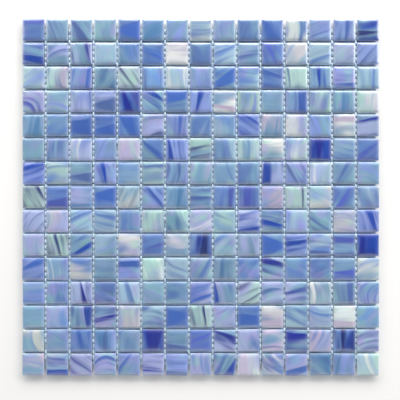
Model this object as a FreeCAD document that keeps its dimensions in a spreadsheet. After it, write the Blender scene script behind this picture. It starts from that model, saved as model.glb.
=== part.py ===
# A sheet of glass mosaic: square pressed glass chips in rows, their backs bonded to a net of glass-fibre threads.
# The sheet lies face up with +Z up. Its origin is under its centre, on the surface that the net rests on.
# Row 1 lies furthest along +Y and column 1 furthest along -X.

import FreeCAD, Part
import Sketcher
import os

# The driving sizes in millimetres, apart from the two counts and the angle in degrees.
SIZES = [
    ("tile_width", 20.0, "side of a chip at its widest level"),
    ("tile_thickness", 4.0, "chip from its back to its face"),
    ("columns", 15, "chips in a row"),
    ("rows", 15, "rows in the sheet"),
    ("joint_width", 1.93, "gap left between two chips for the grout"),
    ("bevel_run", 1.45, "shallow outer part of the face, measured inwards"),
    ("bevel_drop", 0.45, "how far that shallow part falls"),
    ("shoulder_run", 0.75, "steep rounding below it, measured inwards"),
    ("shoulder_drop", 0.95, "how far the steep rounding falls to the widest level"),
    ("back_draft_run", 0.9, "how far the back is smaller than the widest level, each side"),
    ("back_corner", 0.8, "corner cut of the back"),
    ("widest_corner", 1.0, "corner cut at the widest level"),
    ("shoulder_corner", 1.1, "corner cut where the steep rounding ends"),
    ("face_corner", 1.2, "corner cut of the flat face"),
    ("tile_shift", 0.25, "most that a chip lies off its place along a row or across it"),
    ("tile_twist", 0.7, "most that a chip is turned from square"),
    ("thread_pitch", 5.08, "net threads, centre to centre"),
    ("thread_width", 0.85, "flat glass-fibre thread, side to side"),
    ("thread_thickness", 0.25, "flat glass-fibre thread, under to upper side"),
    ("net_margin", 11.1, "from the sheet's edge in to the outermost thread's centre line"),
    ("thread_tail", 1.2, "cut end of a thread past the last thread that it crosses"),
]

# Sizes that follow from the driving ones, as expressions for the document.
SHEET_WIDTH = "(sizes.columns * (sizes.tile_width + sizes.joint_width) - sizes.joint_width)"
SHEET_HEIGHT = "(sizes.rows * (sizes.tile_width + sizes.joint_width) - sizes.joint_width)"
TILE_PITCH = "(sizes.tile_width + sizes.joint_width)"
NET_THICKNESS = "(2 * sizes.thread_thickness)"
GAPS_ACROSS = f"floor(({SHEET_WIDTH} - 2 * sizes.net_margin) / sizes.thread_pitch)"
GAPS_ALONG = f"floor(({SHEET_HEIGHT} - 2 * sizes.net_margin) / sizes.thread_pitch)"

# A chip's share of the most shift and twist comes from fractions that never fall into step with the grid.
ROW_STEP = 0.7549
COLUMN_STEP = 0.5698


def fill_sheet(doc):
    sheet = doc.addObject("Spreadsheet::Sheet", "sizes")
    for line, (name, value, meaning) in enumerate(SIZES, start=1):
        sheet.set(f"A{line}", name)
        sheet.set(f"B{line}", str(value))
        sheet.set(f"C{line}", meaning)
        sheet.setAlias(f"B{line}", name)
    doc.recompute()
    return sheet


def origin_feature(body, role):
    return [feature for feature in body.Origin.OriginFeatures if feature.Role == role][0]


def draw_outline(sketch, points):
    """Straight lines through the points, joined end to end and back to the first."""
    for number, point in enumerate(points):
        following = points[(number + 1) % len(points)]
        sketch.addGeometry(Part.LineSegment(FreeCAD.Vector(*point, 0), FreeCAD.Vector(*following, 0)))
    for number in range(len(points)):
        sketch.addConstraint(Sketcher.Constraint("Coincident", number, 2, (number + 1) % len(points), 1))


def name_size(sketch, constraint, name, expression):
    number = sketch.addConstraint(constraint)
    sketch.renameConstraint(number, name)
    sketch.setExpression(f"Constraints.{name}", expression)


def chip_outline(doc, name, height, inset, corner):
    """One level of a chip: a square about the origin with its corners cut, at a height above the chip's back."""
    sketch = doc.addObject("Sketcher::SketchObject", name)
    sketch.setExpression(".Placement.Base.z", height)
    side, cut = 9.0, 1.0
    long, short = side, side - cut
    draw_outline(sketch, [(long, -short), (long, short), (short, long), (-short, long),
                          (-long, short), (-long, -short), (-short, -long), (short, -long)])
    x_axis, y_axis = -1, -2
    sketch.addConstraint(Sketcher.Constraint("Symmetric", 0, 1, 0, 2, x_axis))
    sketch.addConstraint(Sketcher.Constraint("Symmetric", 2, 1, 2, 2, y_axis))
    sketch.addConstraint(Sketcher.Constraint("Symmetric", 4, 1, 4, 2, x_axis))
    sketch.addConstraint(Sketcher.Constraint("Symmetric", 6, 1, 6, 2, y_axis))
    sketch.addConstraint(Sketcher.Constraint("Symmetric", 0, 2, 4, 1, y_axis))
    sketch.addConstraint(Sketcher.Constraint("Symmetric", 2, 2, 6, 1, x_axis))
    width = f"sizes.tile_width - 2 * ({inset})"
    name_size(sketch, Sketcher.Constraint("DistanceX", 4, 1, 0, 2, 2 * side), "width", width)
    name_size(sketch, Sketcher.Constraint("DistanceY", 6, 1, 2, 2, 2 * side), "depth", width)
    name_size(sketch, Sketcher.Constraint("DistanceX", 1, 2, 1, 1, cut), "corner_across", corner)
    name_size(sketch, Sketcher.Constraint("DistanceY", 1, 1, 1, 2, cut), "corner_along", corner)
    return sketch


def glass_chip(doc):
    """The one pressed chip that every row repeats: tapered sides under a soft raised edge and a flat face."""
    shoulder_level = "sizes.tile_thickness - sizes.bevel_drop"
    widest_level = f"{shoulder_level} - sizes.shoulder_drop"
    face_inset = "sizes.shoulder_run + sizes.bevel_run"
    chip = doc.addObject("Part::Loft", "glass_chip")
    chip.Sections = [
        chip_outline(doc, "back_outline", "0", "sizes.back_draft_run", "sizes.back_corner"),
        chip_outline(doc, "widest_outline", widest_level, "0", "sizes.widest_corner"),
        chip_outline(doc, "shoulder_outline", shoulder_level, "sizes.shoulder_run", "sizes.shoulder_corner"),
        chip_outline(doc, "face_outline", "sizes.tile_thickness", face_inset, "sizes.face_corner"),
    ]
    chip.Solid = True
    chip.Ruled = True
    chip.Linearize = True
    return chip


def wander(row, column, start):
    """A chip's share, from -1 to 1, of the most that it may lie off its place."""
    return round(2 * ((start + row * ROW_STEP + column * COLUMN_STEP) % 1.0) - 1, 3)


def tile_row(doc, chip, row, rows, columns):
    """A row of separate chips, each a copy of the one chip with its own small error of laying."""
    copies = []
    for column in range(1, columns + 1):
        copy = doc.addObject("App::Link", f"chip_{row:02d}_{column:02d}")
        copy.LinkedObject = chip
        across = column - (columns + 1) / 2
        along = (rows + 1) / 2 - row
        shift_across = wander(row, column, 0.13)
        shift_along = wander(column, row, 0.41)
        twist = wander(row, 2 * column, 0.77)
        copy.setExpression(".Placement.Base.x", f"{TILE_PITCH} * {across} + sizes.tile_shift * {shift_across}")
        copy.setExpression(".Placement.Base.y", f"{TILE_PITCH} * {along} + sizes.tile_shift * {shift_along}")
        copy.setExpression(".Placement.Base.z", NET_THICKNESS)
        copy.setExpression(".Placement.Rotation.Angle", f"sizes.tile_twist * {twist} * 1 deg")
        copies.append(copy)
    row_of_chips = doc.addObject("Part::Compound", f"tile_row_{row:02d}")
    row_of_chips.Links = copies
    return row_of_chips


def thread_layer(doc, name, along_y, gaps, crossed_gaps, height):
    """Parallel flat threads, evenly spaced about the origin, all on one level."""
    body = doc.addObject("PartDesign::Body", name)
    body.AllowCompound = True
    sketch = body.newObject("Sketcher::SketchObject", f"{name}_outline")
    sketch.AttachmentSupport = [(origin_feature(body, "XY_Plane"), "")]
    sketch.MapMode = "FlatFace"
    sketch.setExpression("AttachmentOffset.Base.z", height)
    half_long, half_wide = 150.0, 0.4
    reach, side = (half_wide, half_long) if along_y else (half_long, half_wide)
    draw_outline(sketch, [(-reach, -side), (reach, -side), (reach, side), (-reach, side)])
    sketch.addConstraint(Sketcher.Constraint("Horizontal", 0))
    sketch.addConstraint(Sketcher.Constraint("Horizontal", 2))
    sketch.addConstraint(Sketcher.Constraint("Vertical", 1))
    sketch.addConstraint(Sketcher.Constraint("Vertical", 3))
    length = f"{crossed_gaps} * sizes.thread_pitch + 2 * sizes.thread_tail"
    first = f"{gaps} * sizes.thread_pitch / 2"
    across, along = ("sizes.thread_width", length) if along_y else (length, "sizes.thread_width")
    left, low = (f"{first} + sizes.thread_width / 2", f"({length}) / 2")
    if not along_y:
        left, low = low, left
    name_size(sketch, Sketcher.Constraint("DistanceX", 0, 1, 0, 2, 2 * reach), "across", across)
    name_size(sketch, Sketcher.Constraint("DistanceY", 1, 1, 1, 2, 2 * side), "along", along)
    name_size(sketch, Sketcher.Constraint("DistanceX", 0, 1, -1, 1, reach), "left", left)
    name_size(sketch, Sketcher.Constraint("DistanceY", 0, 1, -1, 1, side), "low", low)
    thread = body.newObject("PartDesign::Pad", f"{name}_first")
    thread.Profile = sketch
    thread.setExpression("Length", "sizes.thread_thickness")
    doc.recompute()
    pattern = body.newObject("PartDesign::LinearPattern", f"{name}_pattern")
    pattern.Originals = [thread]
    pattern.Direction = (origin_feature(body, "X_Axis" if along_y else "Y_Axis"), [""])
    pattern.setExpression("Length", f"{gaps} * sizes.thread_pitch")
    pattern.setExpression("Occurrences", f"{gaps} + 1")
    body.Tip = pattern
    return body


def stop_on_faults(doc, pieces):
    for item in doc.Objects:
        if "Invalid" in item.State or "Error" in item.State:
            raise RuntimeError(f"{item.Label} failed: {item.State}")
    for piece in pieces:
        if piece.Shape.isNull() or not piece.Shape.isValid():
            raise RuntimeError(f"{piece.Label} has no valid shape")


def write_pieces(pieces):
    os.makedirs("parts", exist_ok=True)
    for piece in pieces:
        piece.Shape.exportStep(f"parts/{piece.Label}.step")
        print(f"{piece.Label}: {len(piece.Shape.Solids)} solids, {piece.Shape.Volume:.1f} cubic millimetres")


def build():
    doc = FreeCAD.newDocument("mosaic_tile_sheet")
    sheet = fill_sheet(doc)
    rows, columns = int(sheet.rows), int(sheet.columns)
    chip = glass_chip(doc)
    pieces = [tile_row(doc, chip, row, rows, columns) for row in range(1, rows + 1)]
    pieces.append(thread_layer(doc, "mesh_warp_threads", True, GAPS_ACROSS, GAPS_ALONG, "0"))
    pieces.append(thread_layer(doc, "mesh_weft_threads", False, GAPS_ALONG, GAPS_ACROSS, "sizes.thread_thickness"))
    doc.recompute()
    stop_on_faults(doc, pieces)
    write_pieces(pieces)


build()
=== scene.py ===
import math
import random

import bpy
import numpy as np
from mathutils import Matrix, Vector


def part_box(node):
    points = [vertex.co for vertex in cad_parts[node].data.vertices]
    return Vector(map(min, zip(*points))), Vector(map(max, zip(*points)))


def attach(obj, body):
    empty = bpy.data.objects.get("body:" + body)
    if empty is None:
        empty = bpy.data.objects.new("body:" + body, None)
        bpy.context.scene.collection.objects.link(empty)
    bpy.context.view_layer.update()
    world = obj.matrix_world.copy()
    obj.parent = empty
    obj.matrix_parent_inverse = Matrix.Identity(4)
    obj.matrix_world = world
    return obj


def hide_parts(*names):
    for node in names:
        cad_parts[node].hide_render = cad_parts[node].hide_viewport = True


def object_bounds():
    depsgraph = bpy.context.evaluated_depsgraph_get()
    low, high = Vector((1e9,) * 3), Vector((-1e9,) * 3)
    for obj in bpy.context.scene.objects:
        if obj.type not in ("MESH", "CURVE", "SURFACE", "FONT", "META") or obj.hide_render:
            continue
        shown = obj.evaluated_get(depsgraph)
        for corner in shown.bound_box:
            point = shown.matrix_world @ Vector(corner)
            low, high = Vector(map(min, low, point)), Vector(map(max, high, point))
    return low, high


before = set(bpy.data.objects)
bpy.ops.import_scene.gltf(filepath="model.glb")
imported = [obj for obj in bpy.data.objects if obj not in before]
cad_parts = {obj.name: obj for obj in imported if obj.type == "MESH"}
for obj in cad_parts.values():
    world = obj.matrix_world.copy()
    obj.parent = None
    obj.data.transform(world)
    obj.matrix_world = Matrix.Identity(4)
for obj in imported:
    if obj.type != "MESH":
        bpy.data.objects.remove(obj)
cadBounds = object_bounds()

mm = 0.001
rng = random.Random(327)

# The sheet's grid of chips, and the joint between two chips
sheetGrid = {"rows": 15, "columns": 15, "joint": 1.93 * mm}


def linear(hexColor):
    # an sRGB hex value as the linear colour that the shaders use
    parts = [int(hexColor[i:i + 2], 16) / 255 for i in (1, 3, 5)]
    return [c / 12.92 if c <= 0.04045 else ((c + 0.055) / 1.055) ** 2.4 for c in parts] + [1.0]


def addNode(tree, kind, inputs=None, output=0, **settings):
    # one node with its settings and links; hands back the socket asked for, or the node itself
    node = tree.nodes.new(kind)
    for name, value in settings.items():
        setattr(node, name, value)
    for name, value in (inputs or {}).items():
        if isinstance(value, bpy.types.NodeSocket):
            tree.links.new(value, node.inputs[name])
        else:
            node.inputs[name].default_value = value
    return node if output is None else node.outputs[output]


def newMaterial(name):
    material = bpy.data.materials.new(name)
    material.use_nodes = True
    material.node_tree.nodes.clear()
    return material, material.node_tree


def newPiece(name, points, polygons, material, smooth=True):
    mesh = bpy.data.meshes.new(name)
    mesh.from_pydata(points.tolist(), [], polygons)
    mesh.polygons.foreach_set("use_smooth", [smooth] * len(mesh.polygons))
    mesh.materials.append(material)
    piece = bpy.data.objects.new(name, mesh)
    bpy.context.scene.collection.objects.link(piece)
    return piece


# The camera looks straight down from close above, with the photograph's framing
cameraSetup = {
    "height": 0.4,             # metres above the chips' faces
    "frameWidth": 366.0 * mm,  # across the picture, at the faces
    "sheetCentrePixel": (200.8, 197.2),
    "imageSize": 400,
    "sensor": 36.0,            # mm
}


def placeCamera():
    setup = cameraSetup
    top = cadBounds[1][2]
    pixel = setup["frameWidth"] / setup["imageSize"]
    middle = setup["imageSize"] / 2
    camera = bpy.data.objects.new("camera", bpy.data.cameras.new("camera"))
    camera.data.sensor_width = setup["sensor"]
    camera.data.lens = setup["sensor"] * setup["height"] / setup["frameWidth"]
    camera.location = (
        (middle - setup["sheetCentrePixel"][0]) * pixel,
        (setup["sheetCentrePixel"][1] - middle) * pixel,
        top + setup["height"],
    )
    bpy.context.scene.collection.objects.link(camera)
    bpy.context.scene.camera = camera
    print("camera placed")


# A long low bank of soft light stands beyond the first row and reaches round to both sides, a weaker panel
# stands before the last row, and the rest of the room is dim. A panel's turn is its bearing from +Y towards
# +X and its rise its height above the sheet, both in degrees; its sizes and distance are in metres.
lightPanels = {
    "middlePanel": {"power": 60.0, "width": 1.9, "height": 0.85, "distance": 2.3, "rise": 20, "turn": 5,
                    "color": "#fffcf6"},
    "leftPanel": {"power": 27.0, "width": 1.7, "height": 0.75, "distance": 2.3, "rise": 19, "turn": -45,
                  "color": "#fffcf6"},
    "rightPanel": {"power": 40.0, "width": 1.8, "height": 0.85, "distance": 2.3, "rise": 20, "turn": 52,
                   "color": "#fffcf6"},
    "nearPanel": {"power": 17.5, "width": 3.0, "height": 1.2, "distance": 2.3, "rise": 40, "turn": 180,
                  "color": "#ffffff"},
}
surround = {"strength": 0.2, "color": "#f2f6ff"}


def placePanel(name, panel):
    light = bpy.data.objects.new(name, bpy.data.lights.new(name, "AREA"))
    light.data.shape = "RECTANGLE"
    light.data.size = panel["width"]
    light.data.size_y = panel["height"]
    light.data.energy = panel["power"]
    light.data.color = linear(panel["color"])[:3]
    rise, turn = math.radians(panel["rise"]), math.radians(panel["turn"])
    light.location = (
        panel["distance"] * math.cos(rise) * math.sin(turn),
        panel["distance"] * math.cos(rise) * math.cos(turn),
        panel["distance"] * math.sin(rise),
    )
    light.rotation_euler = (-(math.pi / 2 - rise), 0, -turn)
    bpy.context.scene.collection.objects.link(light)


def placeLights():
    for name, panel in lightPanels.items():
        placePanel(name, panel)
    world = bpy.data.worlds.new("paleSurround")
    world.use_nodes = True
    background = world.node_tree.nodes["Background"]
    background.inputs["Color"].default_value = linear(surround["color"])
    background.inputs["Strength"].default_value = surround["strength"]
    bpy.context.scene.world = world
    bpy.context.scene.view_settings.view_transform = "Standard"
    print("lights placed")


# The floor's size is in metres
floorLook = {"size": 3.0, "color": "#fbfbfb", "shade": "#f8f8f8", "roughness": 0.85, "grainMm": 0.6}


def makeFloor():
    # matt white laminate: even, with a grain that is drawn coarser than it is and is still hard to see
    look = floorLook
    material, tree = newMaterial("mattWhiteLaminate")
    place = addNode(tree, "ShaderNodeTexCoord", output="Object")
    grain = addNode(tree, "ShaderNodeTexNoise", {
        "Vector": place, "Scale": 1 / (look["grainMm"] * mm)}, "Fac")
    tone = addNode(tree, "ShaderNodeMix", {
        0: grain, 6: linear(look["color"]), 7: linear(look["shade"])}, 2, data_type="RGBA")
    shader = addNode(tree, "ShaderNodeBsdfPrincipled", {"Base Color": tone, "Roughness": look["roughness"]})
    addNode(tree, "ShaderNodeOutputMaterial", {"Surface": shader}, None)
    half = look["size"] / 2
    corners = np.array([(-half, -half, 0), (half, -half, 0), (half, half, 0), (-half, half, 0)])
    floor = newPiece("floor", corners, [(0, 1, 2, 3)], material, smooth=False)
    print("floor made")


# The glass: the tints of the batch, as they look in the finished chips
glassTints = {
    "pearl": "#ecf2f4",
    "cloud": "#d8dae2",
    "mist": "#d4dcdc",
    "rose": "#c8c0dc",
    "ice": "#b7d3ed",
    "lilac": "#b0bce8",
    "mint": "#b5d7d6",
    "aqua": "#a8c8e0",
    "periwinkle": "#90a6e4",
    "sky": "#80acea",
    "steel": "#84aacc",
    "denim": "#6a8ece",
    "slate": "#5672b4",
    "teal": "#5688b8",
    "violet": "#5a6cca",
    "royal": "#4670c6",
    "cobalt": "#1c4cb4",
    "ultramarine": "#1c2ea4",
    "navy": "#0c2478",
}

# Chips whose stroke of strong tint stands out: (row, column, angle, place, width). The angle is in degrees
# from the rows; the place of the stroke's middle across that direction and half its width are in mm.
strokes = [
    {"body": "denim", "streak": "royal", "bend": 0, "chips": [
        (1, 5, 0, 0, 6), (1, 11, -65, -3, 4), (2, 6, -25, 0, 1.5), (3, 9, 30, -2, 5), (3, 11, -15, 3, 2),
        (5, 3, 0, -1, 7), (5, 4, 5, -4, 4), (6, 6, -40, 0, 1.5), (10, 11, 0, 0, 7), (13, 10, 0, -2, 5),
        (13, 7, 10, 1, 6), (14, 3, -78, 0, 2), (5, 5, -70, 1, 5), (4, 7, 5, 5, 5), (8, 4, 0, 2, 5)]},
    {"body": "denim", "streak": "violet", "bend": 0, "chips": [
        (1, 1, 4, 7.5, 2.5), (2, 11, -65, 0, 2), (7, 10, 90, 9, 1), (8, 14, 60, 0, 2), (10, 6, 18, -1, 1),
        (10, 14, 0, 5, 3), (14, 8, 20, 3, 2), (6, 15, 40, 0, 2), (8, 2, 0, -6, 5), (8, 10, 88, 2, 4),
        (8, 9, 88, -5, 2.5), (11, 14, 0, -3, 2.5)]},
    {"body": "steel", "streak": "teal", "bend": 0, "chips": [
        (5, 1, 80, -3, 3), (4, 14, 88, 1, 2), (11, 4, 0, -8, 2), (11, 9, 86, 3, 2), (8, 7, 84, -2, 2.5)]},
    {"body": "steel", "streak": "slate", "bend": 0, "chips": [
        (1, 3, -60, -2.5, 3.5), (1, 2, -72, -3, 0.8), (2, 10, 12, -1, 1.5), (7, 14, 62, 2, 1.5),
        (7, 3, 0, -3, 3), (9, 13, -30, -2, 1), (12, 14, 90, -5, 3), (14, 7, 0, -6, 3), (8, 8, 0, 0, 2)]},
    {"body": "steel", "streak": "cobalt", "bend": 0, "chips": [
        (3, 13, 90, 2, 1.8), (4, 6, -35, 6.5, 2.4), (12, 9, -80, -8, 2.5), (15, 2, -5, -7, 3.5),
        (15, 9, 65, -6.5, 3), (10, 3, 30, -3.5, 2.2), (9, 11, -10, -2, 2.4), (13, 3, 88, -6, 3.6)]},
    {"body": "periwinkle", "streak": "cobalt", "bend": 0, "chips": [
        (2, 1, -10, -4.5, 3.6), (7, 1, 18, 7, 2.6), (7, 4, -80, 0, 1.7), (10, 12, 8, 3, 2.4),
        (6, 7, -82, -6, 2.2), (4, 8, 78, 2.5, 2.2), (9, 15, -70, 4, 2.6), (5, 10, -35, 6, 1.7),
        (9, 10, 10, -7.5, 2.5), (7, 11, 88, 6, 4)]},
    {"body": "periwinkle", "streak": "royal", "bend": 0, "chips": [
        (3, 14, 0, -6, 1.5), (5, 7, 88, -2, 1.5), (8, 6, -50, 2, 2), (12, 8, 20, -4, 2),
        (15, 5, 55, 5, 1.5), (15, 12, 20, -5, 3.5), (11, 1, 25, 4, 2.5), (11, 5, 0, 5, 3),
        (3, 3, 80, -6, 2), (1, 14, 84, -1.5, 1.8), (4, 12, 88, -5, 4.5)]},
    {"body": "periwinkle", "streak": "slate", "bend": 0, "chips": [
        (1, 13, 20, -2.5, 0.8), (2, 15, 52, 0, 0.9), (4, 4, 3, -3, 5), (7, 12, -58, -3, 1.2),
        (15, 7, 0, -8, 3)]},
    {"body": "lilac", "streak": "ultramarine", "bend": 0, "chips": [
        (2, 3, -76, 7, 1.4), (12, 3, -78, 2, 1.9), (12, 12, 10, 2, 1.2), (13, 4, 8, 0, 1.3),
        (11, 11, -15, 6, 3), (5, 15, 12, 5.5, 1.5), (15, 6, -5, -5, 1.1), (14, 9, -25, 5, 3),
        (15, 3, -35, 1, 0.9)]},
    {"body": "lilac", "streak": "violet", "bend": 0.05, "chips": [
        (4, 1, -40, -4, 2), (12, 15, 68, 1, 0.8), (15, 4, 10, 7.5, 1.8)]},
    {"body": "lilac", "streak": "slate", "bend": 0.02, "chips": [
        (2, 2, 22, 2.5, 1), (5, 6, 15, -8.5, 2), (12, 11, 12, 4, 1.5), (14, 15, 12, 0, 0.8),
        (9, 1, 50, 2, 0.6)]},
    {"body": "mint", "streak": "navy", "bend": 0, "chips": [
        (3, 5, -55, -1, 0.9), (6, 8, 10, -5, 0.7), (8, 12, 90, -5, 0.8), (13, 8, -80, 4, 1.2),
        (8, 1, -60, 8, 1.6), (12, 10, 30, -5, 0.9), (10, 2, -75, 1, 1.4)]},
    {"body": "aqua", "streak": "denim", "bend": 0, "chips": [
        (3, 15, 90, -4, 1.6), (9, 3, 25, 5, 2), (9, 4, -12, 5, 2), (11, 8, 62, -3, 2.5),
        (12, 5, -75, 1, 2.5), (13, 12, -25, -3, 1.5), (2, 9, 25, 3.5, 2), (6, 14, -12, -8.5, 1.5),
        (2, 13, 20, -4, 2)]},
    {"body": "cobalt", "streak": "ultramarine", "bend": 0, "chips": [
        (4, 5, -72, -2, 2.5), (6, 13, 88, 2, 3), (10, 15, 88, 6, 2.5), (14, 6, 86, 0, 6),
        (14, 12, 0, 5, 3)]},
    {"body": "cobalt", "streak": "navy", "bend": 0, "chips": [
        (1, 15, 3, -2, 2), (10, 8, 88, -3, 3.5), (14, 14, 90, 2, 2)]},
    {"body": "pearl", "streak": "rose", "bend": 0, "chips": [
        (2, 7, 0, 20, 1), (4, 9, -10, -5, 2), (5, 14, 0, 6, 3), (6, 11, 5, 20, 1), (13, 11, 0, -5, 4),
        (13, 14, 3, -6, 3), (15, 10, 88, 5, 4)]},
]

# What varies from one stroked chip to the next, and which tints its body may drift to
strokeChance = {
    "veins": (0.15, 0.45),
    "drifts": ["steel", "lilac"],
    "deepBodies": ("cobalt", "denim"),
    "deepDrifts": ["steel", "denim"],
    "deepFilm": 0.4,           # the pearl film shows less on these
}

# Every other chip is a quieter mix, drawn by chance
quietChance = {
    "bodies": ["aqua", "lilac", "mint", "ice", "steel", "periwinkle", "cloud", "rose", "sky", "denim",
               "mist", "teal", "steel", "denim", "periwinkle", "slate"],
    "drifts": ["lilac", "aqua", "mint", "steel", "steel", "aqua", "periwinkle", "denim"],
    "streaks": ["periwinkle", "steel", "denim", "pearl", "teal", "slate"],
    "angles": [0, 88, -10, 90, 84, -82, 30, -30, 62, -70],
    "turn": (-6, 6),           # degrees either side of those angles
    "bend": (-0.02, 0.02),
    "place": (-9, 9),
    "widths": [-2, -2, 0.3, 0.8, 1.6],     # below zero there is no stroke
    "veins": (-0.1, 0.4),
}

# What varies in all of them
chipChance = {
    "taper": (-0.06, 0.06),    # of the stroke, for each mm along it
    "film": (0.05, 0.5),       # how much of the pearl film shows
    "light": (0.86, 1.14),     # of a tint as a whole,
    "tint": (0.97, 1.03),      # and of its red, green and blue
    "seed": (0, 500),          # where in the noise the chip's pattern lies
    "corner": (0.8, 1.2),      # of the corners' radius
    "wave": (-1, 1),           # how far its face bulges, and where
}

# Lengths are in mm and noise scales in cells per mm. A pair is the two ends of a soft threshold.
glassLook = {
    "albedoScale": 0.895,      # how much darker the glass is than it looks under this light
    "depthShare": 0.3,         # the pattern changes more slowly into the glass than across it
    "wander": 0.07,            # the slow sideways wander of every line
    "wanderBy": 1.7,           # and how far it goes
    "along": 0.03,             # along the streaks
    "bandsAcross": 0.2,        # and across them: wide soft bands
    "brushAcross": 0.6,        # and fine brush lines
    "softDetail": 0.5,
    "lineDetail": 1.0,
    "brushShade": 0.05,
    "brushLines": (0.3, 0.7),
    "saturation": 1.03,
    "strokeSoftness": 1.6,     # over which the clear edge of a stroke fades
    "brushOut": 2.0,           # how far the brush lines pull its other edge about
    "brushedFade": 1.4,        # and how much further that edge fades
    "strokeThin": 0.9,         # how much of a stroke is left between its brush lines
    "strokeLines": (0.35, 0.6),
    "veinReach": 0.35,         # how far a chip's share of veins widens them
    "veins": (0.52, 0.88),
    "veinStrength": 0.75,
    "drift": 0.085,            # the drift between two tints, stretched along the streaks
    "driftAlong": 0.5,
    "driftTurn": (0.36, 0.64),
    "film": 0.075,             # the pearl film, from green to pink
    "filmTurn": (0.4, 0.6),
    "filmGreen": "#a0d4cc",
    "filmPink": "#b4a8e2",
    "filmPatch": 0.12,
    "filmPatches": (0.38, 0.66),
    "edgeHighlightTint": "#e6edf0",      # painted highlight: the face is painted paler round its edge, for the light its rounded edge catches
    "edgeHighlightStrength": 0.24,
    "edgeHighlightReach": 1.2,           # over which it fades
    "ripple": 0.3,
    "rippleStrength": 0.25,
    "rippleHeight": 0.05,
    "cloudiness": 0.5,         # opal glass: light enters a little way and comes out soft
    "cloudDepth": 2.2,
    "roughness": 0.28,
    "index": 1.52,
    "filmWeight": 0.5,
    "filmRoughness": 0.35,
    "filmIndex": 2.0,          # the fumed metal oxide film mirrors more than bare glass
}


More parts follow.
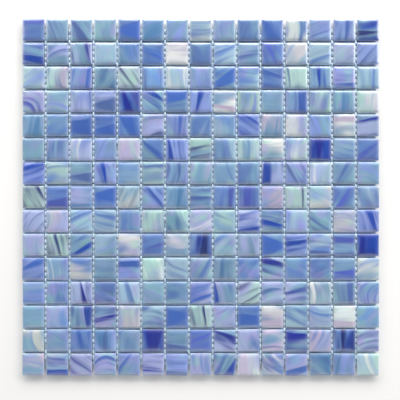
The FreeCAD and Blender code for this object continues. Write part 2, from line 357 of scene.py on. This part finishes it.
def makeGlass():
    # opaque stirred glass, pressed hot in a mould and fumed: soft bands of tint under a glossy pearl film
    look = glassLook
    material, tree = newMaterial("fumedPressedGlass")
    flow = addNode(tree, "ShaderNodeAttribute", output="Vector", attribute_name="stirFlow")
    shape = addNode(tree, "ShaderNodeAttribute", output="Vector", attribute_name="strokeShape")
    shares = addNode(tree, "ShaderNodeAttribute", output="Vector", attribute_name="stirShare")
    bodyTint = addNode(tree, "ShaderNodeAttribute", output="Color", attribute_name="bodyTint")
    driftTint = addNode(tree, "ShaderNodeAttribute", output="Color", attribute_name="driftTint")
    streakTint = addNode(tree, "ShaderNodeAttribute", output="Color", attribute_name="streakTint")
    along, across, depth = addNode(tree, "ShaderNodeSeparateXYZ", {0: flow}, None).outputs
    strokePlace, strokeWidth, strokeBend = addNode(tree, "ShaderNodeSeparateXYZ", {0: shape}, None).outputs
    veinShare, taper, filmShare = addNode(tree, "ShaderNodeSeparateXYZ", {0: shares}, None).outputs

    # lines that run along the stir, bent and wandering
    slow = addNode(tree, "ShaderNodeTexNoise", {
        "Vector": flow, "Scale": look["wander"], "Detail": look["softDetail"]}, "Fac")
    aside = addNode(tree, "ShaderNodeMath", {
        0: slow, 1: look["wanderBy"], 2: across}, operation="MULTIPLY_ADD")
    squared = addNode(tree, "ShaderNodeMath", {0: along, 1: along}, operation="MULTIPLY")
    bent = addNode(tree, "ShaderNodeMath", {0: squared, 1: strokeBend, 2: aside}, operation="MULTIPLY_ADD")
    run = addNode(tree, "ShaderNodeMath", {0: along, 1: look["along"]}, operation="MULTIPLY")
    brushAt = addNode(tree, "ShaderNodeMath", {0: bent, 1: look["brushAcross"]}, operation="MULTIPLY")
    bandAt = addNode(tree, "ShaderNodeMath", {0: bent, 1: look["bandsAcross"]}, operation="MULTIPLY")
    brushPlace = addNode(tree, "ShaderNodeCombineXYZ", {0: run, 1: brushAt, 2: depth})
    bandPlace = addNode(tree, "ShaderNodeCombineXYZ", {0: run, 1: bandAt, 2: depth})
    brush = addNode(tree, "ShaderNodeTexNoise", {
        "Vector": brushPlace, "Scale": 1.0, "Detail": look["lineDetail"]}, "Fac")

    # the one stroke of strong tint, wider at one end: one edge clear, the other brushed out
    growth = addNode(tree, "ShaderNodeMath", {0: along, 1: taper, 2: 1.0}, operation="MULTIPLY_ADD")
    reach = addNode(tree, "ShaderNodeMath", {0: strokeWidth, 1: growth}, operation="MULTIPLY")
    off = addNode(tree, "ShaderNodeMath", {0: bent, 1: strokePlace}, operation="SUBTRACT")
    clearEdge = addNode(tree, "ShaderNodeMath", {0: reach, 1: off}, operation="SUBTRACT")
    farEdge = addNode(tree, "ShaderNodeMath", {0: reach, 1: off}, operation="ADD")
    brushedEdge = addNode(tree, "ShaderNodeMath", {
        0: brush, 1: look["brushOut"], 2: farEdge}, operation="MULTIPLY_ADD")
    soft, brushMiddle = look["strokeSoftness"], look["brushOut"] / 2
    clearSide = addNode(tree, "ShaderNodeMapRange", {
        "Value": clearEdge, "From Min": -soft / 2, "From Max": soft / 2}, interpolation_type="SMOOTHSTEP")
    brushedSide = addNode(tree, "ShaderNodeMapRange", {
        "Value": brushedEdge, "From Min": brushMiddle - soft,
        "From Max": brushMiddle + look["brushedFade"] * soft}, interpolation_type="SMOOTHSTEP")
    edged = addNode(tree, "ShaderNodeMath", {0: clearSide, 1: brushedSide}, operation="MULTIPLY")
    thinned = addNode(tree, "ShaderNodeMapRange", {
        "Value": brush, "From Min": look["strokeLines"][0], "From Max": look["strokeLines"][1],
        "To Min": look["strokeThin"]}, interpolation_type="SMOOTHSTEP")
    stroke = addNode(tree, "ShaderNodeMath", {0: edged, 1: thinned}, operation="MULTIPLY")

    # looser veins of the same tint
    veins = addNode(tree, "ShaderNodeTexNoise", {
        "Vector": bandPlace, "Scale": 1.0, "Detail": look["lineDetail"]}, "Fac")
    veinsHere = addNode(tree, "ShaderNodeMath", {
        0: veinShare, 1: look["veinReach"], 2: veins}, operation="MULTIPLY_ADD")
    vein = addNode(tree, "ShaderNodeMapRange", {
        "Value": veinsHere, "From Min": look["veins"][0], "From Max": look["veins"][1],
        "To Max": look["veinStrength"]}, interpolation_type="SMOOTHSTEP")
    dark = addNode(tree, "ShaderNodeMath", {0: stroke, 1: vein}, operation="MAXIMUM")

    # the body drifts from one tint to another, under a film that turns from green to pink
    easyRun = addNode(tree, "ShaderNodeMath", {0: along, 1: look["driftAlong"]}, operation="MULTIPLY")
    driftPlace = addNode(tree, "ShaderNodeCombineXYZ", {0: easyRun, 1: bent, 2: depth})
    drift = addNode(tree, "ShaderNodeTexNoise", {
        "Vector": driftPlace, "Scale": look["drift"], "Detail": look["softDetail"]}, "Fac")
    driftHere = addNode(tree, "ShaderNodeMapRange", {
        "Value": drift, "From Min": look["driftTurn"][0], "From Max": look["driftTurn"][1]},
        interpolation_type="SMOOTHSTEP")
    body = addNode(tree, "ShaderNodeMix", {0: driftHere, 6: bodyTint, 7: driftTint}, 2, data_type="RGBA")
    turn = addNode(tree, "ShaderNodeTexNoise", {
        "Vector": flow, "Scale": look["film"], "Detail": look["softDetail"]}, "Fac")
    turnHere = addNode(tree, "ShaderNodeMapRange", {
        "Value": turn, "From Min": look["filmTurn"][0], "From Max": look["filmTurn"][1]},
        interpolation_type="SMOOTHSTEP")
    film = addNode(tree, "ShaderNodeMix", {
        0: turnHere, 6: linear(look["filmGreen"]), 7: linear(look["filmPink"])}, 2, data_type="RGBA")
    patch = addNode(tree, "ShaderNodeTexNoise", {
        "Vector": driftPlace, "Scale": look["filmPatch"], "Detail": look["softDetail"]}, "Fac")
    patchHere = addNode(tree, "ShaderNodeMapRange", {
        "Value": patch, "From Min": look["filmPatches"][0], "From Max": look["filmPatches"][1],
        "To Max": filmShare}, interpolation_type="SMOOTHSTEP")
    filmed = addNode(tree, "ShaderNodeMix", {0: patchHere, 6: body, 7: film}, 2, data_type="RGBA")
    tinted = addNode(tree, "ShaderNodeMix", {0: dark, 6: filmed, 7: streakTint}, 2, data_type="RGBA")
    lines = addNode(tree, "ShaderNodeMapRange", {
        "Value": brush, "From Min": look["brushLines"][0], "From Max": look["brushLines"][1],
        "To Min": 1 - look["brushShade"], "To Max": 1 + look["brushShade"]})
    brushed = addNode(tree, "ShaderNodeHueSaturation", {
        "Color": tinted, "Value": lines, "Saturation": look["saturation"]})
    # painted highlight: every face is painted paler round its edge, for the light its rounded edge catches
    edgeHighlightMask = addNode(tree, "ShaderNodeAttribute", output="Fac", attribute_name="edgeHighlightShare")
    edgeHighlighted = addNode(tree, "ShaderNodeMix", {
        0: edgeHighlightMask, 6: brushed, 7: linear(look["edgeHighlightTint"])}, 2, data_type="RGBA")

    ripple = addNode(tree, "ShaderNodeTexNoise", {
        "Vector": flow, "Scale": look["ripple"], "Detail": look["lineDetail"]}, "Fac")
    skin = addNode(tree, "ShaderNodeBump", {
        "Height": ripple, "Strength": look["rippleStrength"], "Distance": look["rippleHeight"] * mm})
    shader = addNode(tree, "ShaderNodeBsdfPrincipled", {
        "Base Color": edgeHighlighted, "Roughness": look["roughness"], "IOR": look["index"], "Normal": skin,
        "Subsurface Weight": look["cloudiness"], "Subsurface Scale": look["cloudDepth"] * mm,
        "Subsurface Radius": (1.0, 1.0, 1.0), "Coat Weight": look["filmWeight"],
        "Coat Roughness": look["filmRoughness"], "Coat IOR": look["filmIndex"]})
    addNode(tree, "ShaderNodeOutputMaterial", {"Surface": shader}, None)
    print("glass mixed")
    return material


# A chip's pillowed form, in mm. Its place, size and turn come from the frame.
chipForm = {
    "edgeRun": 0.35,           # a tight round where the side turns over
    "edgeDrop": 0.5,
    "chamferEnd": 1.2,         # then a slope of about 21 degrees
    "chamferSlope": 0.38,
    "crownFade": 1.5,          # that dies away into the face
    "faceInsets": (0.0, 0.03, 0.12, 0.3, 0.7, 1.1, 1.5, 1.9, 2.4, 3.1, 4.1, 5.4, 7.4),
    "cornerRadius": 1.05,
    "cornerTightens": 0.35,    # for each mm in from the edge
    "leastCorner": 0.4,
    "flankRing": (0.35, 0.62, 0.9),    # on the side: shares of the back's inset, the height and the corner
    "backInset": 0.9,          # how much smaller the back is, each side
    "backRound": (0.15, 0.12),
    "backCorners": (0.8, 0.75),
    "rimWidth": 0.8,           # the flat rim round the recess of the back
    "recess": 0.35,
    "recessRun": 0.2,
    "recessCorners": (0.6, 0.5),
    "waveDepth": 0.25,         # the part of the face that isn't quite flat,
    "waveHeight": 0.035,       # by how much,
    "waveTurns": (2.2, 2.0),   # and how often it turns across the half chip
    "ribs": 7,
    "ribMargin": 0.4,
    "ribCrest": (7.0, 0.385),  # half length and half width
    "ribRoot": (7.28, 0.55),
    "ribSink": 0.02,
    "arcSteps": 7,
    "sideSteps": 4,
}


def faceDrop(inset):
    # how far the surface lies below the face, in mm, at this distance in from the edge
    form = chipForm
    fade = form["chamferSlope"] * form["crownFade"]
    if inset > form["chamferEnd"]:
        return fade * math.exp(-(inset - form["chamferEnd"]) / form["crownFade"])
    if inset > form["edgeRun"]:
        return fade + form["chamferSlope"] * (form["chamferEnd"] - inset)
    lost = 1 - math.sqrt(max(0.0, 1 - (1 - inset / form["edgeRun"]) ** 2))
    return fade + form["chamferSlope"] * (form["chamferEnd"] - form["edgeRun"]) + form["edgeDrop"] * lost


def chipPlaces(node):
    # each chip's centre, turn and half width, read from the CAD row
    points = np.array([v.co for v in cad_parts[node].data.vertices])
    low, high = points.min(0), points.max(0)
    count, joint = sheetGrid["columns"], sheetGrid["joint"]
    pitch = (high[0] - low[0] + joint) / count
    column = np.floor((points[:, 0] - low[0] + joint / 2) / pitch).astype(int)
    nearFace = 0.01 * mm
    places = []
    for number in range(count):
        own = points[column == number]
        centre = (own.min(0) + own.max(0)) / 2
        face = own[own[:, 2] > high[2] - nearFace] - centre
        # the fourth power brings the four corners of a square to one bearing
        fourfold = (face[:, 0] + 1j * face[:, 1]) ** 4
        turn = np.angle(-fourfold.sum()) / 4
        level = own - centre
        half = np.abs(level[:, 0] * math.cos(turn) + level[:, 1] * math.sin(turn)).max()
        places.append({"centre": centre[:2], "turn": turn, "half": half, "back": low[2], "face": high[2]})
    return places


def roundedSquare(half, radius):
    form = chipForm
    outline = []
    for corner in range(4):
        middle = np.array([half - radius, half - radius])
        arc = [middle + radius * np.array([math.cos(a), math.sin(a)])
               for a in np.linspace(0, math.pi / 2, form["arcSteps"])]
        side = [arc[-1] + (np.array([radius - half, half]) - arc[-1]) * k / form["sideSteps"]
                for k in range(1, form["sideSteps"])]
        turn = corner * math.pi / 2
        spin = np.array([[math.cos(turn), -math.sin(turn)], [math.sin(turn), math.cos(turn)]])
        outline += [spin @ p for p in arc + side]
    return np.array(outline)


# the share of the painted highlight: paler near the edge of the face, standing in for the light the rounded
# edge catches
def edgeHighlightShare(inset):
    return glassLook["edgeHighlightStrength"] * math.exp(-inset / glassLook["edgeHighlightReach"])


def chipRings(half, thickness):
    # from the recess of the back, round the edge, in over the face: (outline, height, painted highlight
    # share) in mm
    form = chipForm
    radius = form["cornerRadius"] * rng.uniform(*chipChance["corner"])
    widest = thickness - faceDrop(0)
    back = half - form["backInset"]
    roundRun, roundRise = form["backRound"]
    outer, inner = form["backCorners"]
    mouth = back - form["rimWidth"]
    mouthCorner, bedCorner = form["recessCorners"]
    insetShare, heightShare, cornerShare = form["flankRing"]
    rings = [(roundedSquare(mouth - form["recessRun"], bedCorner), form["recess"], 0.0),
             (roundedSquare(mouth, mouthCorner), 0.0, 0.0),
             (roundedSquare(back - roundRun, radius * inner), 0.0, 0.0),
             (roundedSquare(back, radius * outer), roundRise, 0.0),
             (roundedSquare(half - insetShare * form["backInset"], radius * cornerShare),
              heightShare * widest, edgeHighlightShare(0.0))]
    for inset in form["faceInsets"]:
        corner = max(radius - form["cornerTightens"] * inset, form["leastCorner"])
        rings.append((roundedSquare(half - inset, corner), thickness - faceDrop(inset), edgeHighlightShare(inset)))
    return rings


def chipMesh(place, start):
    form = chipForm
    half, thickness = place["half"] / mm, (place["face"] - place["back"]) / mm
    rings = chipRings(half, thickness)
    count = len(rings[0][0])
    levels = [np.column_stack([outline, np.full(count, height)]) for outline, height, _ in rings]
    edgeHighlights = [0.0] + [share for _, _, share in rings for _ in range(count)] + [0.0]
    points = np.vstack([[(0, 0, form["recess"])]] + levels + [[(0, 0, thickness)]])
    # the pressed face is never quite flat
    dip = [rng.uniform(*chipChance["wave"]) for _ in range(3)]
    flat = points[:, 2] > thickness - form["waveDepth"]
    x, y = points[:, 0] / half, points[:, 1] / half
    turnX, turnY = form["waveTurns"]
    wave = dip[0] * np.cos(turnX * x + dip[1]) * np.cos(turnY * y + dip[2])
    points[:, 2] -= np.where(flat, form["waveHeight"] * (1 + wave), 0)
    polygons = []
    last = len(rings) - 1
    for k in range(count):
        following = (k + 1) % count
        polygons.append((start, start + 1 + following, start + 1 + k))
        for ring in range(last):
            a, b = start + 1 + ring * count, start + 1 + (ring + 1) * count
            polygons.append((a + k, a + following, b + following, b + k))
        top = start + 1 + last * count
        polygons.append((top + k, top + following, start + len(points) - 1))
    return points, polygons, edgeHighlights


def ribMesh(half, start):
    # bars across the back that key the chip into its bed
    form = chipForm
    points, polygons = [], []
    span = half - form["backInset"] - form["rimWidth"] - form["ribMargin"]
    levels = ((0.0, form["ribCrest"]), (form["recess"] + form["ribSink"], form["ribRoot"]))
    for k in range(form["ribs"]):
        y = ((k + 0.5) / form["ribs"] * 2 - 1) * span
        for z, (halfLong, halfWide) in levels:
            for sx, sy in ((-1, -1), (1, -1), (1, 1), (-1, 1)):
                points.append((sx * halfLong, y + sy * halfWide, z))
        a = start + 8 * k
        polygons += [(a + 3, a + 2, a + 1, a), (a + 4, a + 5, a + 6, a + 7)]
        polygons += [(a + i, a + (i + 1) % 4, a + 4 + (i + 1) % 4, a + 4 + i) for i in range(4)]
    return np.array(points), polygons


def chipRecipe(row, column):
    recipe = {"taper": rng.uniform(*chipChance["taper"]), "film": rng.uniform(*chipChance["film"])}
    found = [(group, chip) for group in strokes for chip in group["chips"] if chip[:2] == (row, column)]
    if found:
        chance = strokeChance
        group, (_, _, angle, place, width) = found[0]
        body = group["body"]
        recipe.update(body=body, streak=group["streak"], bend=group["bend"], place=place, width=width,
                      veins=rng.uniform(*chance["veins"]))
        recipe["drift"] = rng.choice([body, body] + chance["drifts"])
        if body in chance["deepBodies"]:
            recipe["drift"] = rng.choice([body] + chance["deepDrifts"])
            recipe["film"] *= chance["deepFilm"]
    else:
        chance = quietChance
        angle = rng.choice(chance["angles"]) + rng.uniform(*chance["turn"])
        recipe.update(body=rng.choice(chance["bodies"]), drift=rng.choice(chance["drifts"]),
                      streak=rng.choice(chance["streaks"]), bend=rng.uniform(*chance["bend"]),
                      place=rng.uniform(*chance["place"]), width=rng.choice(chance["widths"]),
                      veins=rng.uniform(*chance["veins"]))
    recipe["angle"] = math.radians(angle)
    return recipe


def tintOf(name):
    # a named tint, no two chips quite alike
    light = rng.uniform(*chipChance["light"]) * glassLook["albedoScale"]
    return [min(c * light * rng.uniform(*chipChance["tint"]), 1.0)
            for c in linear(glassTints[name])[:3]] + [1.0]


def turned(local, angle):
    # x and y of the points after a turn about the chip's centre
    cosine, sine = math.cos(angle), math.sin(angle)
    return local[:, 0] * cosine - local[:, 1] * sine, local[:, 0] * sine + local[:, 1] * cosine


def makeChipRow(row, glass):
    node = f"tile_row_{row:02d}"
    allPoints, allPolygons, smooth, edgeHighlightShares = [], [], [], []
    fields = {name: [] for name in ("stirFlow", "strokeShape", "stirShare", "bodyTint", "driftTint",
                                    "streakTint")}
    total = 0
    places = chipPlaces(node)
    for column, place in enumerate(places, start=1):
        recipe = chipRecipe(row, column)
        points, polygons, edgeHighlights = chipMesh(place, total)
        ribPoints, ribPolygons = ribMesh(place["half"] / mm, total + len(points))
        smooth += [True] * len(polygons) + [False] * len(ribPolygons)
        local = np.vstack([points, ribPoints])
        edgeHighlightShares += edgeHighlights + [0.0] * len(ribPoints)
        seed = rng.uniform(*chipChance["seed"])
        along, across = turned(local, -recipe["angle"])
        fields["stirFlow"].append(
            np.column_stack([along, across, local[:, 2] * glassLook["depthShare"] + seed]))
        for name, value in (("strokeShape", [recipe["place"], recipe["width"], recipe["bend"]]),
                            ("stirShare", [recipe["veins"], recipe["taper"], recipe["film"]]),
                            ("bodyTint", tintOf(recipe["body"])), ("driftTint", tintOf(recipe["drift"])),
                            ("streakTint", tintOf(recipe["streak"]))):
            fields[name].append(np.tile(value, (len(local), 1)))
        x, y = turned(local, place["turn"])
        allPoints.append(np.column_stack([
            place["centre"][0] + x * mm, place["centre"][1] + y * mm, place["back"] + local[:, 2] * mm]))
        allPolygons += polygons + ribPolygons
        total += len(local)
    piece = newPiece(f"chips_row_{row:02d}", np.vstack(allPoints), allPolygons, glass)
    piece.data.polygons.foreach_set("use_smooth", smooth)
    for name, values in fields.items():
        values = np.vstack(values)
        kind, key = ("FLOAT_VECTOR", "vector") if values.shape[1] == 3 else ("FLOAT_COLOR", "color")
        piece.data.attributes.new(name, kind, "POINT").data.foreach_set(key, values.ravel())
    piece.data.attributes.new("edgeHighlightShare", "FLOAT", "POINT").data.foreach_set("value", edgeHighlightShares)
    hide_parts(node)
    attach(piece, "root")
    return places


# The net: flat weft bundles laid over twisted pairs of warp yarns, stiff with white coating. Lengths are
# in mm; the plies' sizes and spread are shares of the flat CAD thread.
netForm = {
    "threadGap": 2.0,          # more than this between two points is a gap between two threads
    "weftStep": 5.5,
    "weftSides": 8,
    "weftSways": ((31.0, 1.0), (11.0, 0.6)),       # (length for each radian, share of the sway)
    "warpStepsPerCell": 3,
    "warpSides": 4,
    "warpSway": 40.0,
    "sideWander": 0.1,
    "phase": (0, 6.28),
    "plySpread": 0.45,
    "plyLift": 0.4,
    "plyWide": 0.5,
    "plyHigh": 0.55,
}

# The glue that has risen from the net into the joints, in mm
glueForm = {
    "width": 2.05,             # the joint, and a little more where it wets the glass
    # upright joints: a bead over each weft thread, as (distance from the thread, share of the full rise)
    "beadShape": [(-2.54, 0.0), (-2.05, 0.6), (-1.3, 0.92), (-0.4, 1.0), (0.5, 0.97), (1.3, 0.84),
                  (2.05, 0.5)],
    "beadFoot": 1.7,
    "beadTop": 3.4,
    "beadRise": (0.72, 1.0),   # of the full rise, from bead to bead
    "sparseBeads": 0.06,       # this share of the beads has taken little glue
    "sparseRise": 0.35,
    "beadNudge": (-0.3, 0.3),
    "beadSection": (8, 0.6),   # sides, and how square it is
    "thinEnd": 16.0,           # the last beads before the near edge are lower
    "thinRise": 0.4,
    "levelTop": 2.1,           # level joints: a low even fillet
    "levelRise": (0.8, 1.15),
    "levelStep": 2.9,
    "levelSection": (6, 0.7),
}

# the yarn's faint blue is painted light, the glow thrown on it by the blue glass
yarnLook = {"color": "#f4f9fd", "shade": "#e6eef5", "fibreMm": 0.12, "runMm": 3.0, "detail": 2.0,
            "lineStrength": 0.5, "lineMm": 0.04, "roughness": 0.35}
# the glue's pale blue is painted light, the glow thrown on it by the blue glass beside the joints
glueLook = {"color": "#d0e3f3", "shade": "#b8d1e8", "patchMm": 2.0, "roughness": 0.45, "index": 1.48,
            "cloudiness": 0.3, "cloudDepthMm": 1.0}


def makeYarn(name, runsAlongX):
    # glass fibre yarn in a white acrylic coating: fine lines along the thread, a dull sheen. Real filaments
    # are about 0.01 mm thick, so the lines are drawn coarser than that, to show.
    look = yarnLook
    material, tree = newMaterial(name)
    fine, long = 1 / (look["fibreMm"] * mm), 1 / (look["runMm"] * mm)
    stretch = (long, fine, fine) if runsAlongX else (fine, long, fine)
    place = addNode(tree, "ShaderNodeTexCoord", output="Object")
    scaled = addNode(tree, "ShaderNodeMapping", {"Vector": place, "Scale": stretch})
    fibres = addNode(tree, "ShaderNodeTexNoise", {
        "Vector": scaled, "Scale": 1.0, "Detail": look["detail"]}, "Fac")
    # the faint blue of these two tones is painted light from the blue glass
    tone = addNode(tree, "ShaderNodeMix", {
        0: fibres, 6: linear(look["shade"]), 7: linear(look["color"])}, 2, data_type="RGBA")
    lines = addNode(tree, "ShaderNodeBump", {
        "Height": fibres, "Strength": look["lineStrength"], "Distance": look["lineMm"] * mm})
    shader = addNode(tree, "ShaderNodeBsdfPrincipled", {
        "Base Color": tone, "Roughness": look["roughness"], "Normal": lines})
    addNode(tree, "ShaderNodeOutputMaterial", {"Surface": shader}, None)
    return material


def makeGlue():
    # white dispersion glue, dried to a dull skin that lets a little light in. Its pale blue is painted
    # light: the glow the blue glass around it throws into the joints
    look = glueLook
    material, tree = newMaterial("driedWhiteGlue")
    place = addNode(tree, "ShaderNodeTexCoord", output="Object")
    patches = addNode(tree, "ShaderNodeTexNoise", {
        "Vector": place, "Scale": 1 / (look["patchMm"] * mm)}, "Fac")
    tone = addNode(tree, "ShaderNodeMix", {
        0: patches, 6: linear(look["shade"]), 7: linear(look["color"])}, 2, data_type="RGBA")
    shader = addNode(tree, "ShaderNodeBsdfPrincipled", {
        "Base Color": tone, "Roughness": look["roughness"], "IOR": look["index"],
        "Subsurface Weight": look["cloudiness"], "Subsurface Scale": look["cloudDepthMm"] * mm,
        "Subsurface Radius": (1.0, 1.0, 1.0)})
    addNode(tree, "ShaderNodeOutputMaterial", {"Surface": shader}, None)
    return material


def threadCentres(node, axis):
    # where the CAD threads lie across their run, from the gaps between them, and half their width
    values = np.sort(np.array([v.co[axis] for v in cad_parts[node].data.vertices]))
    groups = np.split(values, np.where(np.diff(values) > netForm["threadGap"] * mm)[0] + 1)
    return [(group.min() + group.max()) / 2 for group in groups], (groups[0].max() - groups[0].min()) / 2


def sweep(paths, sections, axis, start=0):
    # one closed tube along each path; a section for each step lies across the run and up
    paths, sections = np.array(paths), np.array(sections)
    tubes, steps, sides = sections.shape[:3]
    offset = np.zeros((tubes, steps, sides, 3))
    offset[..., 1 - axis] = sections[..., 0]
    offset[..., 2] = sections[..., 1]
    points = (paths[:, :, None, :] + offset).reshape(-1, 3)
    polygons = []
    for tube in range(tubes):
        base = start + tube * steps * sides
        for step in range(steps - 1):
            a = base + step * sides
            for k in range(sides):
                following = (k + 1) % sides
                polygons.append((a + k, a + following, a + sides + following, a + sides + k))
        polygons.append(tuple(base + k for k in reversed(range(sides))))
        polygons.append(tuple(base + (steps - 1) * sides + k for k in range(sides)))
    return points, polygons


def roundSection(halfWide, halfHigh, sides, power=1.0):
    # an ellipse; a power below 1 makes it squarer
    section = []
    for k in range(sides):
        turn = 2 * math.pi * (k + 0.5) / sides
        across, up = math.cos(turn), math.sin(turn)
        section.append((halfWide * math.copysign(abs(across) ** power, across),
                        halfHigh * math.copysign(abs(up) ** power, up)))
    return section


def makeGlueBeads(places):
    form = glueForm
    threads, _ = threadCentres("mesh_weft_threads", 1)
    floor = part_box("mesh_weft_threads")[0][2]
    centres = np.array([[place["centre"] for place in row] for row in places])
    columns, rows = centres[:, :, 0].mean(0), centres[:, :, 1].mean(1)
    half = places[0][0]["half"]
    halfWide = form["width"] * mm / 2
    low, high = rows.min() - half, rows.max() + half
    fullRise = form["beadTop"] - form["beadFoot"]
    uprights, uprightSections = [], []
    for x in (columns[1:] + columns[:-1]) / 2:
        path, sections = [], []
        for thread in threads:
            filled = rng.random() > form["sparseBeads"]
            amount = rng.uniform(*form["beadRise"]) if filled else form["sparseRise"]
            if thread < low + form["thinEnd"] * mm:
                amount *= form["thinRise"]
            nudge = rng.uniform(*form["beadNudge"])
            for distance, share in form["beadShape"]:
                y = min(max(thread + (distance + nudge * share) * mm, low), high)
                top = (form["beadFoot"] + fullRise * share * amount) * mm
                path.append((x, y, (floor + top) / 2))
                sections.append(roundSection(halfWide, (top - floor) / 2, *form["beadSection"]))
        uprights.append(path)
        uprightSections.append(sections)
    levels, levelSections = [], []
    run = np.arange(columns.min() - half, columns.max() + half, form["levelStep"] * mm)
    for y in (rows[1:] + rows[:-1]) / 2:
        tops = [form["levelTop"] * rng.uniform(*form["levelRise"]) * mm for _ in run]
        levels.append([(x, y, (floor + top) / 2) for x, top in zip(run, tops)])
        levelSections.append([roundSection(halfWide, (top - floor) / 2, *form["levelSection"])
                              for top in tops])
    points, polygons = sweep(uprights, uprightSections, 1)
    levelPoints, levelPolygons = sweep(levels, levelSections, 0, len(points))
    piece = newPiece("joint_glue", np.vstack([points, levelPoints]), polygons + levelPolygons, makeGlue())
    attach(piece, "root")
    print("glue made")


def makeWeft():
    form = netForm
    node = "mesh_weft_threads"
    low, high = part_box(node)
    centres, half = threadCentres(node, 1)
    run = np.linspace(low[0], high[0], int((high[0] - low[0]) / (form["weftStep"] * mm)))
    middle, halfHigh = (low[2] + high[2]) / 2, (high[2] - low[2]) / 2
    paths = []
    for centre in centres:
        phases = [rng.uniform(*form["phase"]) for _ in form["weftSways"]]
        sway = sum(share * np.sin(run / (length * mm) + phase)
                   for (length, share), phase in zip(form["weftSways"], phases))
        across = centre + form["sideWander"] * mm * sway
        paths.append(np.column_stack([run, across, np.full(len(run), middle)]))
    sections = [[roundSection(half, halfHigh, form["weftSides"])] * len(run)] * len(paths)
    piece = newPiece("net_weft", *sweep(paths, sections, 0), makeYarn("coatedWeftYarn", True))
    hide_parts(node)
    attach(piece, "root")
    print("weft laid")


def makeWarp():
    form = netForm
    node = "mesh_warp_threads"
    low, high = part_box(node)
    centres, half = threadCentres(node, 0)
    weftCentres, _ = threadCentres("mesh_weft_threads", 1)
    pitch = weftCentres[1] - weftCentres[0]
    run = np.linspace(low[1], high[1], (len(weftCentres) - 1) * form["warpStepsPerCell"] + 1)
    middle, halfHigh = (low[2] + high[2]) / 2, (high[2] - low[2]) / 2
    # the two plies of a warp thread change sides from one weft thread to the next
    halfTurns = math.pi * (run - weftCentres[0]) / pitch
    spread = np.cos(halfTurns) * half * form["plySpread"]
    lift = np.sin(halfTurns) * halfHigh * form["plyLift"]
    paths = []
    for centre in centres:
        sway = form["sideWander"] * mm * np.sin(run / (form["warpSway"] * mm) + rng.uniform(*form["phase"]))
        for side in (-1, 1):
            paths.append(np.column_stack([centre + sway + side * spread, run, middle + side * lift]))
    ply = roundSection(half * form["plyWide"], halfHigh * form["plyHigh"], form["warpSides"])
    piece = newPiece("net_warp", *sweep(paths, [[ply] * len(run)] * len(paths), 1),
                     makeYarn("coatedWarpYarn", False))
    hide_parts(node)
    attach(piece, "root")
    print("warp laid")


placeCamera()
placeLights()
makeFloor()
glass = makeGlass()
rowPlaces = [makeChipRow(row, glass) for row in range(1, sheetGrid["rows"] + 1)]
print("chips made")
makeWeft()
makeWarp()
makeGlueBeads(rowPlaces)
